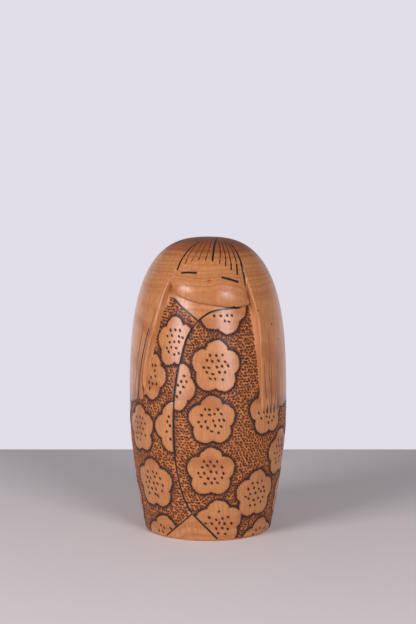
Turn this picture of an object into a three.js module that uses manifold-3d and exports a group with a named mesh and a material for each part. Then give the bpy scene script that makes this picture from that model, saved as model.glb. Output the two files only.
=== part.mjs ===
// A kokeshi doll: one turned and carved wooden billet, bored out from below
// against cracking, and the turned plug that closes the bore.
//
// Units are millimetres. +Z is up and the doll's face looks along -Y. The
// origin is the centre of the base, on the turning axis.
//
// Directions around the doll are angles from the middle of the front, in
// degrees, positive towards +X. Carving depths are measured inwards from the
// turned surface, towards the turning axis.

import * as THREE from 'three';
import { mergeVertices } from 'three/addons/utils/BufferGeometryUtils.js';
import Module from 'manifold-3d';

const { clamp, degToRad, lerp, smoothstep } = THREE.MathUtils;

const manifoldLibrary = await Module();
manifoldLibrary.setup();

// ---- Driving dimensions ----------------------------------------------------

// Turned form
const HEIGHT = 190;
const BELLY_HEIGHT = 73;
const BELLY_RADIUS = 51;
const BASE_RADIUS = 41.2;
const TAPER_CURVE = 1.47;
const DOME_FULLNESS = 3.27;
const DOME_SQUARENESS = 2.68;
const BASE_CHAMFER = 0.8;

// Underside
const DISH_RADIUS = 33;
const DISH_DEPTH = 1;
const BORE_RADIUS = 12;
const BORE_HEIGHT = 130;
const DRILL_POINT = 5;
const PLUG_CLEARANCE = 0.3;
const PLUG_RECESS = 0.4;
const PLUG_THICKNESS = 15;
const PLUG_CHAMFER = 0.7;

// Front opening between the two hair edges, as angles at a few heights
const HAIR_EDGE_HEIGHTS = [84, 103, 121, 141, 155, 172, 184];
const LEFT_HAIR_EDGE = [-56, -51, -47, -42, -40, -33, -31];
const RIGHT_HAIR_EDGE = [42, 41, 41, 41, 39.5, 36, 38];

// Chin line, as heights at a few angles: the head is tilted a little
const CHIN_ANGLES = [-42, -30, -15, 0, 15, 27, 34, 42];
const CHIN_HEIGHTS = [161, 156, 152.4, 150.2, 148.4, 148, 150.5, 155];

// Robe panel: shaved in from the belly up to a deep stop cut under the chin
const ROBE_START = 86;
const ROBE_END = 150;
const ROBE_DEPTH = 5;
const CHIN_UNDERCUT = 1;

// Face: a pillow that rolls in to the chin and to the grooves along the hair
const FACE_DEPTH = 4.2;
const FACE_TOP = 178;
const FACE_BOTTOM_OVERLAP = 0.6;
const GROOVE_START = 174;
const GROOVE_FULL = 156;
const CHEEK_ROLL_WIDTH = 9;
const CHIN_ROLL_HEIGHT = 10;
const PILLOW_POWER = 2.5;
const BROW_DEPTH = 0.8;
const BROW_FADE = 11;
const FLUSH_LIFT = 0.2;
const FLUSH_BAND = 5;

// Mesh fineness
const AROUND = 80;
const TAPER_STEPS = 8;
const DOME_STEPS = 18;
const FACE_COLUMNS = 26;
const FACE_ROWS = 14;
const CHIN_CROWDING = 1.5;
const ROBE_COLUMNS = 20;
const ROBE_ROWS = 8;
const BORE_SIDES = 48;
const CUT_MARGIN = 4;

// ---- The turned surface and the carving below it ---------------------------

function turnedRadius(height) {
  if (height < BELLY_HEIGHT) {
    const below = (BELLY_HEIGHT - height) / BELLY_HEIGHT;
    return BELLY_RADIUS - (BELLY_RADIUS - BASE_RADIUS) * below ** TAPER_CURVE;
  }
  const above = Math.min((height - BELLY_HEIGHT) / (HEIGHT - BELLY_HEIGHT), 1);
  return BELLY_RADIUS * (1 - above ** DOME_FULLNESS) ** (1 / DOME_SQUARENESS);
}

function curveThrough(places, values) {
  const interpolant = new THREE.CubicInterpolant(places, values, 1);
  return (place) => interpolant.evaluate(place)[0];
}

const leftHairEdge = curveThrough(HAIR_EDGE_HEIGHTS, LEFT_HAIR_EDGE);
const rightHairEdge = curveThrough(HAIR_EDGE_HEIGHTS, RIGHT_HAIR_EDGE);
const chinHeight = curveThrough(CHIN_ANGLES, CHIN_HEIGHTS);

function onDoll(angle, height, radius) {
  const turn = degToRad(angle);
  return new THREE.Vector3(radius * Math.sin(turn), -radius * Math.cos(turn), height);
}

function robeDepth(height) {
  const rise = Math.min((height - ROBE_START) / (ROBE_END - ROBE_START), 1);
  return ROBE_DEPTH * (1 - (1 - rise) ** 2);
}

function faceDepth(angle, height) {
  const arc = degToRad(turnedRadius(height));
  const toEdge = arc * Math.min(angle - leftHairEdge(height), rightHairEdge(height) - angle);
  const groove = smoothstep(GROOVE_START - height, 0, GROOVE_START - GROOVE_FULL);
  const atSide = clamp(1 - toEdge / CHEEK_ROLL_WIDTH, 0, 1) * groove;
  const atChin = clamp(1 - (height - chinHeight(angle)) / CHIN_ROLL_HEIGHT, 0, 1);
  const roll = Math.min((atSide ** PILLOW_POWER + atChin ** PILLOW_POWER) ** (1 / PILLOW_POWER), 1);
  const brow = BROW_DEPTH * smoothstep(FACE_TOP - height, 0, BROW_FADE) * (1 - roll);
  const lift = FLUSH_LIFT * smoothstep(height, FACE_TOP - FLUSH_BAND, FACE_TOP);
  return FACE_DEPTH * (1 - Math.sqrt(1 - roll ** 2)) + brow - lift;
}

// ---- Solids for cutting ----------------------------------------------------

function toSolid(geometry) {
  const bare = geometry.clone();
  bare.deleteAttribute('normal');
  bare.deleteAttribute('uv');
  const merged = mergeVertices(bare);
  const corners = merged.index.array;
  const kept = [];
  for (let i = 0; i < corners.length; i += 3) {
    const [a, b, c] = corners.slice(i, i + 3);
    if (a !== b && b !== c && c !== a) kept.push(a, b, c);
  }
  const mesh = new manifoldLibrary.Mesh({
    numProp: 3,
    vertProperties: new Float32Array(merged.attributes.position.array),
    triVerts: new Uint32Array(kept),
  });
  return new manifoldLibrary.Manifold(mesh);
}

function toGeometry(solid) {
  const mesh = solid.getMesh();
  const geometry = new THREE.BufferGeometry();
  geometry.setAttribute('position', new THREE.BufferAttribute(mesh.vertProperties, 3));
  geometry.setIndex(new THREE.BufferAttribute(mesh.triVerts, 1));
  geometry.computeVertexNormals();
  return geometry;
}

// A lathe profile runs up the outside, from the axis to the axis.
function turn(profile, sides) {
  const outline = profile.map(([radius, height]) => new THREE.Vector2(radius, height));
  return new THREE.LatheGeometry(outline, sides).rotateX(Math.PI / 2);
}

// A block whose corners are put in place by a function of three numbers from 0
// to 1: across the opening, up it, and out from the carved surface.
function carvingBlock(columns, rows, place) {
  const block = new THREE.BoxGeometry(1, 1, 1, columns, rows, 1);
  const corners = block.attributes.position;
  for (let i = 0; i < corners.count; i += 1) {
    const across = corners.getX(i) + 0.5;
    const up = corners.getY(i) + 0.5;
    const out = corners.getZ(i) + 0.5;
    const spot = place(across, up, out);
    corners.setXYZ(i, spot.x, spot.y, spot.z);
  }
  return block;
}

// Spreads evenly spaced columns so that more of them lie near both hair edges.
function closeToEnds(fraction) {
  return (1 - Math.cos(Math.PI * fraction)) / 2;
}

function acrossOpening(across, height) {
  return lerp(leftHairEdge(height), rightHairEdge(height), across);
}

// ---- Body ------------------------------------------------------------------

function turnedBillet() {
  const profile = [[0, 0], [BASE_RADIUS - BASE_CHAMFER, 0]];
  for (let i = 0; i < TAPER_STEPS; i += 1) {
    const height = lerp(BASE_CHAMFER, BELLY_HEIGHT, i / TAPER_STEPS);
    profile.push([turnedRadius(height), height]);
  }
  for (let i = 0; i < DOME_STEPS; i += 1) {
    const rise = Math.sin((Math.PI / 2) * (i / DOME_STEPS));
    const height = lerp(BELLY_HEIGHT, HEIGHT, rise);
    profile.push([turnedRadius(height), height]);
  }
  profile.push([0, HEIGHT]);
  return turn(profile, AROUND);
}

function robeCut() {
  return carvingBlock(ROBE_COLUMNS, ROBE_ROWS, (across, up, out) => {
    const share = closeToEnds(across);
    const bottom = ROBE_START - CUT_MARGIN / 2;
    const level = lerp(bottom, ROBE_END, up);
    const angle = acrossOpening(share, level);
    const top = chinHeight(angle) + CHIN_UNDERCUT * (1 - out);
    const height = lerp(bottom, top, up);
    const depth = lerp(robeDepth(height), -CUT_MARGIN, out);
    return onDoll(acrossOpening(share, height), height, turnedRadius(height) - depth);
  });
}

function faceCut() {
  return carvingBlock(FACE_COLUMNS, FACE_ROWS, (across, up, out) => {
    const share = closeToEnds(across);
    const level = lerp(ROBE_END, FACE_TOP, up);
    const chin = chinHeight(acrossOpening(share, level));
    const height = lerp(chin - FACE_BOTTOM_OVERLAP, FACE_TOP, up ** CHIN_CROWDING);
    const angle = acrossOpening(share, height);
    const depth = lerp(faceDepth(angle, height), -CUT_MARGIN, out);
    return onDoll(angle, height, turnedRadius(height) - depth);
  });
}

function reliefBore() {
  const profile = [
    [0, -CUT_MARGIN],
    [BORE_RADIUS, -CUT_MARGIN],
    [BORE_RADIUS, BORE_HEIGHT - DRILL_POINT],
    [0, BORE_HEIGHT],
  ];
  return turn(profile, BORE_SIDES);
}

function baseDish() {
  const profile = [
    [0, -CUT_MARGIN],
    [DISH_RADIUS, -CUT_MARGIN],
    [DISH_RADIUS, 0],
    [DISH_RADIUS - DISH_DEPTH, DISH_DEPTH],
    [0, DISH_DEPTH],
  ];
  return turn(profile, AROUND);
}

function bodyGeometry() {
  const billet = toSolid(turnedBillet());
  const carving = toSolid(robeCut()).add(toSolid(faceCut()));
  const underside = toSolid(reliefBore()).add(toSolid(baseDish()));
  return toGeometry(billet.subtract(carving).subtract(underside));
}

// ---- Base plug -------------------------------------------------------------

function plugGeometry() {
  const radius = BORE_RADIUS - PLUG_CLEARANCE;
  const bottom = DISH_DEPTH + PLUG_RECESS;
  const top = bottom + PLUG_THICKNESS;
  const profile = [
    [0, bottom],
    [radius - PLUG_CHAMFER, bottom],
    [radius, bottom + PLUG_CHAMFER],
    [radius, top - PLUG_CHAMFER],
    [radius - PLUG_CHAMFER, top],
    [0, top],
  ];
  return turn(profile, BORE_SIDES);
}

// ---- The doll --------------------------------------------------------------

const waxedCherry = new THREE.MeshStandardMaterial({ color: 0xb77b50, roughness: 0.4, metalness: 0 });
const bareCherry = new THREE.MeshStandardMaterial({ color: 0xc4905f, roughness: 0.65, metalness: 0 });

const body = new THREE.Mesh(bodyGeometry(), waxedCherry);
body.name = 'body';

const basePlug = new THREE.Mesh(plugGeometry(), bareCherry);
basePlug.name = 'base_plug';

const kokeshiDoll = new THREE.Group();
kokeshiDoll.add(body, basePlug);

export default kokeshiDoll;
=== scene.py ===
# %% [markdown]
# # A carved and burnt kokeshi doll
#
# The doll is one stout billet of cherry wood. A maker turns it on a lathe to a round crown, a full belly and
# a tapered foot, shaves a face and a robe panel into the front, and burns blossoms and a pecked ground into
# the robe with a hot pen. Then the whole doll is waxed.
#
# The sizes come from a CAD model, which is loaded first and never moved. Everything here is built round it,
# in the same frame: the foot stands on z = 0, the turning axis is x = y = 0, and the face looks along -Y.

# %% Load the CAD frame
import math

import bpy
import numpy as np
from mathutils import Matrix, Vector, kdtree


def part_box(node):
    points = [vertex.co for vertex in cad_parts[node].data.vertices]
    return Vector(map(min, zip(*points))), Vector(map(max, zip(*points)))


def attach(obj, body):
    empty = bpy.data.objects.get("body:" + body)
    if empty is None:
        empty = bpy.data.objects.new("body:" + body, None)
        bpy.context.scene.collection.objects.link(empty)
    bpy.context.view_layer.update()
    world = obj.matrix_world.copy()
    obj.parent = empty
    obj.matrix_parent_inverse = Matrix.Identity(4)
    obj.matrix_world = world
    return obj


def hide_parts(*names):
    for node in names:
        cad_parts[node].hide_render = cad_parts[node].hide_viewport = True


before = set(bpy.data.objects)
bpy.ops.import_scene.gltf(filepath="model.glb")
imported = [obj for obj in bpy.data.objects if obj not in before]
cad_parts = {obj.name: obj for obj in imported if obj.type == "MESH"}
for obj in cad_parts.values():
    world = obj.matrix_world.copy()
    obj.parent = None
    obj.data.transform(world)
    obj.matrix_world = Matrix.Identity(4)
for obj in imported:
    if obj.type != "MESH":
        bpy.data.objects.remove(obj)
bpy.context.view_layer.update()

MM = 0.001
body_low, body_high = (np.array(corner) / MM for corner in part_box("body"))
print("CAD model, mm:", np.round(body_low, 1), "to", np.round(body_high, 1))

# %% [markdown]
# ## The turned form
#
# On the lathe the outline is one long curve. It could be a Bezier curve spun by a Screw modifier, but the
# carving below has to know the wood's radius at every height, so the outline is a formula: a foot that
# swells to the belly, and a dome above it that is squarer than a ball. The heights and radii are the CAD
# model's, and the box printed above gives the doll's height and belly radius.

# %% The outline the lathe leaves
HEIGHT = body_high[2]
BELLY_HEIGHT = 73
BELLY_RADIUS = body_high[0]
FOOT_RADIUS = 41.2
FOOT_TAPER, DOME_FULLNESS, DOME_SQUARENESS = 1.47, 3.27, 2.68


def turned_radius(height):
    """The wood's radius at a height, before any carving."""
    below = np.clip((BELLY_HEIGHT - height) / BELLY_HEIGHT, 0, 1)
    above = np.clip((height - BELLY_HEIGHT) / (HEIGHT - BELLY_HEIGHT), 0, 1)
    foot = BELLY_RADIUS - (BELLY_RADIUS - FOOT_RADIUS) * below ** FOOT_TAPER
    dome = BELLY_RADIUS * (1 - above ** DOME_FULLNESS) ** (1 / DOME_SQUARENESS)
    return np.where(height < BELLY_HEIGHT, foot, dome)


def dome_height(radius):
    """The height at which the dome has this radius."""
    rise = (1 - (radius / BELLY_RADIUS) ** DOME_SQUARENESS) ** (1 / DOME_FULLNESS)
    return BELLY_HEIGHT + (HEIGHT - BELLY_HEIGHT) * rise


def mm_per_degree(height):
    """How far one degree of turn reaches along the surface."""
    return np.radians(np.maximum(turned_radius(height), 1))


def on_doll(angle, height, radius):
    """A place in millimetres. The angle is in degrees from the middle of the front, towards +X."""
    turn = np.radians(angle)
    return np.stack(np.broadcast_arrays(radius * np.sin(turn), -radius * np.cos(turn), height), -1)


print("radius at foot, belly, brow, mm:", [round(float(turned_radius(h)), 1) for h in (0, 73, 175)])

# %% [markdown]
# ## The carved front
#
# The maker leaves the hair standing and pares the front down between its two edges: a robe panel that
# deepens to a stop cut under the chin, and above it the face, a pillow that rolls in to the chin and to the
# cheeks. On the left the knife left a soft hollow beside the hair, on the right a steep bright wall. A
# boolean cut would leave ragged triangles along these edges. Here depth below the turned surface is a
# function of angle and height instead, so that rows and columns of the mesh can follow each edge. Each edge
# is a smooth curve through a few listed places, as a maker marks them out in pencil before cutting.

# %% Helpers for smooth curves
def ease(value, start, end):
    """0 before start, 1 after end, and a smooth rise between them."""
    t = np.clip((np.asarray(value, float) - start) / (end - start), 0, 1)
    return t * t * (3 - 2 * t)


def curve_through(places, values):
    """A smooth curve through a few given values, level beyond both ends."""
    places, values = np.asarray(places, float), np.asarray(values, float)
    slopes = np.gradient(values, places)

    def at(place):
        place = np.clip(place, places[0], places[-1])
        k = np.clip(np.searchsorted(places, place) - 1, 0, len(places) - 2)
        width = places[k + 1] - places[k]
        t = (place - places[k]) / width
        return ((1 + 2 * t) * (1 - t) ** 2 * values[k] + t * (1 - t) ** 2 * width * slopes[k]
                + t * t * (3 - 2 * t) * values[k + 1] - t * t * (1 - t) * width * slopes[k + 1])

    return at


print("halfway along, ease gives", float(ease(0.5, 0, 1)), "and a quarter along", float(ease(0.25, 0, 1)))

# %% Edges of the carving
# Heights first, then the angle of the edge at each.
left_hair_edge = curve_through(
    [84, 91, 98, 104, 111, 119, 126, 136, 142, 147, 152, 156, 161, 172, 184],
    [-57, -55.8, -54.4, -53.2, -51.6, -49.3, -47, -43.6, -42, -41, -40, -38.8, -37, -33, -31])
left_hollow_foot = curve_through(
    [84, 91, 103, 112, 121, 127, 133, 140, 146, 150, 156, 161, 172, 184],
    [-56, -55, -51.6, -49.4, -46.9, -45, -43, -40.6, -38.4, -37.6, -37.4, -36.2, -32.5, -30.5])
right_hair_edge = curve_through(
    [84, 100, 121, 132, 141, 147, 152, 159, 165, 172, 184],
    [42, 41.4, 41.3, 41.6, 41.3, 40.2, 38.7, 37.3, 36.8, 36.4, 38.3])
# How many degrees wide the right wall is: nearly upright low down, and laid back beside the chin.
right_wall_run = curve_through([84, 120, 131, 141, 148, 160, 184], [0.5, 0.5, 1.4, 1.7, 1.1, 0.7, 0.5])
# What share of the left hollow the pecked ground climbs.
ground_climb = curve_through(
    [112, 120, 126, 134, 141, 145, 149, 152],
    [0, 0.12, 0.28, 0.35, 0.5, 0.48, 0.2, 0])
# Angles first, then the height of the chin line at each: the head is tilted a little.
chin_height = curve_through(
    [-42, -30, -15, 0, 15, 27, 34, 42],
    [161, 156, 152.4, 150.2, 148.5, 147.9, 148.8, 151])


def panel_edges(height):
    """The angles at which the feet of the left and right hair walls run."""
    return left_hollow_foot(height), right_hair_edge(height) - right_wall_run(height)


print("chin line from", chin_height(-42), "mm at the left hair to", chin_height(27), "mm at its lowest")

# %% Depths of the carving
ROBE_START, ROBE_END, ROBE_DEPTH, EASE_IN = 86, 150, 5, 9
FACE_DEPTH, FACE_TOP, BROW_DEPTH, BROW_FADE = 4.2, 178, 0.8, 11
GROOVE_TOP, GROOVE_RUN = 174, 18
LEFT_ROLL, RIGHT_ROLL, CHIN_ROLL, ROLL_CORNER = 9, 6.5, 10, 2.5
CHEEK_WIDTH, CHEEK_RISE = 9.5, 6
CHEEKS = [(-17, 162, 0.9), (14.6, 160.2, 1.0)]  # angle, height and how far each cheek swells


def robe_depth(height):
    """The panel's depth, eased in on both sides of its start, where the CAD model has a sharp bend."""
    eased = np.clip(height - ROBE_START + EASE_IN, 0, None) ** 2 / (4 * EASE_IN)
    past_start = np.where(height < ROBE_START + EASE_IN, eased, height - ROBE_START)
    rise = np.clip(past_start / (ROBE_END - ROBE_START), 0, 1)
    return ROBE_DEPTH * (1 - (1 - rise) ** 2)


def face_depth(angle, height):
    """The face is a pillow: it rolls in along a quarter circle to both cheeks and to the chin."""
    left, right = panel_edges(height)
    scale = mm_per_degree(height)
    to_edge = scale * np.minimum((angle - left) / LEFT_ROLL, (right - angle) / RIGHT_ROLL)
    at_side = np.clip(1 - to_edge, 0, 1) * ease(GROOVE_TOP - height, 0, GROOVE_RUN)
    at_chin = np.clip(1 - (height - chin_height(angle)) / CHIN_ROLL, 0, 1)
    roll = np.minimum((at_side ** ROLL_CORNER + at_chin ** ROLL_CORNER) ** (1 / ROLL_CORNER), 1)
    brow = BROW_DEPTH * ease(FACE_TOP - height, 0, BROW_FADE) * (1 - roll)
    depth = FACE_DEPTH * (1 - np.sqrt(1 - roll ** 2)) + brow
    for cheek_angle, cheek_height, swell in CHEEKS:
        aside, above = (angle - cheek_angle) * scale / CHEEK_WIDTH, (height - cheek_height) / CHEEK_RISE
        depth = depth - swell * np.exp(-(aside ** 2 + above ** 2)) * (1 - roll)
    return np.maximum(depth, 0)


def carved_depth(angle, height):
    """Depth of the robe below the chin line, and of the face above it."""
    return np.where(height < chin_height(angle), robe_depth(height), face_depth(angle, height))


print("robe depth at 100, 125, 150 mm:", np.round(robe_depth(np.array([100, 125, 150])), 2))

# %% [markdown]
# ## Where the robe is
#
# The robe's left front is folded over its right, so one long lap line runs from the collar to the hem. The
# neck and a triangle of the hem are left plain. Each border is again a curve through listed places, and a
# point's distance inside them, in millimetres, says how far it is from plain wood or hair. Such a distance is
# more useful than a yes or no, because one number can steer the relief, the colour and the width of a burnt
# rim.

# %% Borders of the robe
# Each place is an angle and a height.
LAP = [(8.3, 1.4), (0.2, 7.9), (-7, 13.6), (-12.6, 18.5), (-17, 24.3), (-20.3, 31.4), (-22.5, 40),
       (-24, 48.6), (-25, 60), (-25.2, 74.3), (-25, 87), (-24, 101), (-23, 108.9), (-21.5, 115.6),
       (-19.6, 123.3), (-16.6, 130.6), (-12.4, 136.1), (-8.6, 139.9)]
LEFT_COLLAR = [(-32, 153.2), (-26, 149.9), (-20.2, 146.9), (-14.6, 143.9), (-8.6, 140.3)]
RIGHT_COLLAR = [(-8.6, 139.9), (-4.3, 142.6), (1.2, 145.2), (9, 146.9), (18.6, 147.6), (29.5, 148.2)]
COLLAR = LEFT_COLLAR + RIGHT_COLLAR[1:]
lap_turns, lap_heights = zip(*LAP)
lap_angle = curve_through(lap_heights, lap_turns)
HEM = [(-41.4, 0), (-39.1, 1.4), (-28.6, 7.9), (-20.6, 12.9), (-12.9, 18.4), (-7, 13.6), (0.2, 7.9),
       (8.3, 1.4), (10, 0)]
hair_end = curve_through(
    [-180, -120, -90, -70, -58, -50, 41, 47, 53, 58, 66, 80, 100, 130, 180],
    [83, 85, 84, 86, 89, 87, 84, 84, 83, 84, 83, 85, 82, 84, 83])
GROUND_TOP = 154.2  # the pecked ground stops here, left of where the collar begins
ABOVE_ROBE, BELOW_ROBE, FAR = 175, -20, 99  # where a border is missing, it is put out of reach


def wrap(angle):
    """An angle as one between -180 and 180 degrees."""
    return (np.asarray(angle, float) + 180) % 360 - 180


def inside_robe(angle, height):
    """Millimetres inside the robe, below zero on hair, face, neck and the plain hem."""
    angle = wrap(angle)
    scale = mm_per_degree(height)
    left, right = panel_edges(height)
    left = left + ground_climb(height) * (left_hair_edge(height) - left)
    between_hair = np.minimum(angle - left, right - angle) * scale
    inside = np.maximum(between_hair, hair_end(angle) - height)
    collar = np.interp(angle, *zip(*COLLAR), left=ABOVE_ROBE, right=ABOVE_ROBE)
    hem = np.interp(angle, *zip(*HEM), left=BELOW_ROBE, right=BELOW_ROBE)
    # The collar and hem slant, so the shortest way to each is shorter than the upright one.
    inside = np.minimum(inside, (collar - height) * 0.8)
    inside = np.minimum(inside, (height - hem) * 0.75)
    return np.minimum(inside, np.where(between_hair > -4, chin_height(angle) + 0.6 - height, FAR))


print("robe at the front, 60 mm up:", round(float(inside_robe(0, 60)), 1), "mm inside")

# %% [markdown]
# ## The blossoms
#
# Each plum blossom is five round petals left standing proud of the burnt ground, about 30 mm across. A
# petal's outline is part of a circle, and the union of five circles and a middle gives the outline with its
# small notches. Each blossom belongs to the left or the right front of the robe, and the lap line cuts it.

# %% Place the blossoms
# Each is the angle and height of its middle, its first petal's direction, its size, how wide it is for its
# height, and the front that it belongs to.
LEFT, RIGHT = -1, 1
BLOSSOMS = [
    (-27.6, 126.7, 95, 15.7, 0.88, LEFT), (13.5, 147, 71, 15.3, 1.15, RIGHT),
    (6.3, 112, 87, 16.4, 1.01, RIGHT), (-47.9, 103.8, 77, 14.5, 0.9, LEFT),
    (-22.5, 99.4, 64, 14.8, 0.8, RIGHT), (2.8, 78.9, 91, 15.4, 0.97, RIGHT),
    (-23.4, 73.6, 106, 16, 0.95, LEFT), (-58, 69.8, 95, 15.2, 0.92, LEFT),
    (47.8, 82, 95, 14.9, 1, RIGHT), (68, 53.5, 95, 15.1, 1, RIGHT),
    (2.2, 46, 90, 15.8, 0.97, RIGHT), (-47, 35.4, 92, 16.1, 1, LEFT),
    (41.3, 29.4, 90, 15.6, 1, RIGHT), (87, 24, 80, 15, 1, RIGHT),
    (9.1, 12, 93, 15.4, 1, RIGHT), (-40, -0.4, 90, 15.3, 1.05, LEFT),
    (52.5, -3.4, 93, 15.2, 1, RIGHT), (96, 73, 100, 14.6, 1, RIGHT),
    (113, 2, 84, 14.8, 1, RIGHT), (123, 42, 70, 15.2, 1, RIGHT),
    (141, 78, 95, 15, 1, RIGHT), (153, 14, 88, 15, 0.95, RIGHT),
    (168, 50, 108, 15.4, 1, RIGHT), (-174, 84, 75, 15, 1, LEFT),
    (-167, 12, 92, 15.2, 1, LEFT), (-147, 56, 85, 15.3, 1, LEFT),
    (-128, 84, 96, 15, 1, LEFT), (-128, 22, 78, 15.2, 0.97, LEFT),
    (-106, 55, 90, 15.1, 1, LEFT), (-92, 84, 70, 14.2, 1, LEFT),
    (-90, 20, 100, 15.2, 1, LEFT)]
PETAL_REACH, PETAL_RADIUS, BLOSSOM_MIDDLE = 7.9, 7.4, 9
LAP_SIDE = 70  # the lap line cuts blossoms on the front only, up to this angle


def inside_outline(across, up, direction, size):
    """Millimetres inside a blossom's outline, for a place given from its middle."""
    grow = size / (PETAL_REACH + PETAL_RADIUS)
    inside = BLOSSOM_MIDDLE * grow - np.hypot(across, up)
    for petal in range(5):  # 72 degrees apart
        turn = math.radians(direction + 72 * petal)
        petal_across, petal_up = PETAL_REACH * grow * math.cos(turn), PETAL_REACH * grow * math.sin(turn)
        away = np.hypot(across - petal_across, up - petal_up)
        inside = np.maximum(inside, PETAL_RADIUS * grow - away)
    return inside


def inside_blossom(angle, height):
    """Millimetres inside the nearest blossom, cut by the lap line and by the robe's borders."""
    scale = mm_per_degree(height)
    past_lap = (wrap(angle) - lap_angle(height)) * scale
    inside = np.full(np.shape(past_lap), -float(FAR))
    for middle, level, direction, size, width, side in BLOSSOMS:
        across = wrap(angle - middle) * scale / width
        near = np.hypot(across, height - level) < size + 6
        wobble = 0.25 * np.sin(0.8 * across + middle) * np.cos(0.7 * height + level)
        one = inside_outline(across, height - level, direction, size) + wobble
        cut_by_lap = np.where(abs(wrap(angle)) < LAP_SIDE, np.minimum(one, side * past_lap), one)
        one = np.where(near, cut_by_lap, -FAR)
        inside = np.maximum(inside, one)
    return np.minimum(inside, inside_robe(angle, height))


first_depth = float(inside_blossom(*BLOSSOMS[0][:2]))
print(len(BLOSSOMS), "blossoms, the first", round(first_depth, 1), "mm deep at its middle")

# %% [markdown]
# ## The grid of the billet
#
# The mesh is one sheet of rows and columns, as if a net were drawn over the doll. Columns run up the
# underside, up the front and over the crown. In the opening they keep to the hair edges, with a few close
# together on each wall. Rows bend to follow the chin line, and four of them make the ledge of the chin, so
# every carved edge is a clean line of vertices.

# %% Columns and rows
# Each column's place, from 0 to 1, across the part of the doll that it belongs to.
WALL_STEPS = np.array([0, 0.07, 0.25, 0.45, 0.65, 0.85])
PANEL_STEPS = np.linspace(0, 1, 134)
BACK_STEPS = np.linspace(0, 1, 196)[1:-1]
LEFT_WALL, PANEL, RIGHT_WALL, BACK = range(4)
steps = [WALL_STEPS, PANEL_STEPS, WALL_STEPS[::-1], BACK_STEPS]
column_kind = np.repeat([LEFT_WALL, PANEL, RIGHT_WALL, BACK], [len(s) for s in steps])
column_step = np.concatenate(steps)

# The underside as radius and height: from the bore's tip down its wall, across the dish and round the foot.
BORE_RADIUS = 12
underside = [(4, 128.3), (8, 126.7)] + [(BORE_RADIUS, z) for z in (125, 90, 60, 30, 16, 8, 1.3)]
underside += [(r, 1) for r in (12.3, 14, 17, 20, 23, 26, 29, 31.9)] + [(32.3, 0.7), (32.9, 0.1), (33.2, 0)]
underside += [(r, 0) for r in (35, 37, 39, 40.2)] + [(40.6, 0.08), (40.95, 0.3), (41.15, 0.6)]
# Rows lie under 1 mm apart, and closer at the chin.
robe_levels = np.concatenate([np.arange(1.2, 86, 0.9), np.arange(86.2, 149.4, 0.7), [149.8, 150]])
face_levels = np.concatenate([[150.03, 150.25, 150.6, 151], np.arange(151.6, 176, 0.7)])
crown_radii = np.arange(turned_radius(176.4), 0.4, -0.9)
levels = np.concatenate([robe_levels, face_levels, dome_height(crown_radii)])
on_face = np.arange(len(levels)) >= len(robe_levels)
print(len(column_kind), "columns,", len(underside) + len(levels), "rows")

# %% Put every vertex in place
WALL_SHAPE = 1.6  # above 1, a wall falls faster at its top than at its foot
BEND_START, BEND_REACH = 118, 24  # rows bend from this height up, and this many degrees beside the opening
STOP_CUT_RISE, STOP_CUT_DEPTH = 1.0, 0.3
GROUND_DEPTH = 0.2
FACE_MARK, UNDERSIDE_MARK = -5.0, -9.0  # in place of a distance, where no robe is near


def column_angles(height):
    """Each column's angle at a height, and how much of the carving's depth it takes."""
    left, right = left_hair_edge(height), right_hair_edge(height)
    left_foot, right_foot = panel_edges(height)
    angle = np.select(
        [column_kind == LEFT_WALL, column_kind == PANEL, column_kind == RIGHT_WALL],
        [left + (left_foot - left) * column_step, left_foot + (right_foot - left_foot) * column_step,
         right + (right_foot - right) * column_step],
        right + (360 + left - right) * column_step)
    on_wall = 1 - (1 - column_step) ** WALL_SHAPE
    share = np.select([column_kind == PANEL, column_kind == BACK], [1.0, 0.0], on_wall)
    return angle, share


# Rows bend to the chin line, fully at the chin and less and less above, below and beside it.
level = levels[:, None]
angle, share = column_angles(level)
beside = np.maximum(left_hair_edge(level) - wrap(angle), wrap(angle) - right_hair_edge(level))
bend = ease(level, BEND_START, ROBE_END) * (1 - ease(level, ROBE_END, FACE_TOP))
bend = bend * (1 - ease(beside, 0, BEND_REACH))
height = level + bend * (chin_height(wrap(angle)) - ROBE_END)
angle, share = column_angles(height)
depth = np.where(on_face[:, None], face_depth(angle, height), robe_depth(height))
# The last row of the robe goes up behind the chin and a little deeper, as the knife's stop cut does.
stop_cut = (level == ROBE_END) * share
height = height + STOP_CUT_RISE * stop_cut
depth = share * depth + STOP_CUT_DEPTH * stop_cut

# The robe's numbers at each vertex. The face and the right wall stay plain wood.
robe_here = np.where(on_face[:, None], FACE_MARK, inside_robe(angle, height))
on_wall = np.minimum(robe_here, hair_end(wrap(angle)) - height)
robe_here = np.where(column_kind == RIGHT_WALL, on_wall, robe_here)
robe_here = np.where(wrap(angle) < LEFT_COLLAR[0][0], np.minimum(robe_here, GROUND_TOP - height), robe_here)
petal_here = np.minimum(inside_blossom(angle, height), robe_here)
ground_here = np.minimum(robe_here, -petal_here)
radius = turned_radius(height) - depth - GROUND_DEPTH * ease(ground_here, -0.1, 0.9)
side_rows = on_doll(angle, height, radius)

foot_angle = column_angles(np.array([[0.0]]))[0]
bottom_rows = np.concatenate([on_doll(foot_angle, z, r) for r, z in underside])
rows = np.concatenate([bottom_rows, side_rows])
top_row = float(rows[..., 2].max())
print("deepest carving", round(float(depth.max()), 2), "mm, highest row at", round(top_row, 2), "mm")

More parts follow.
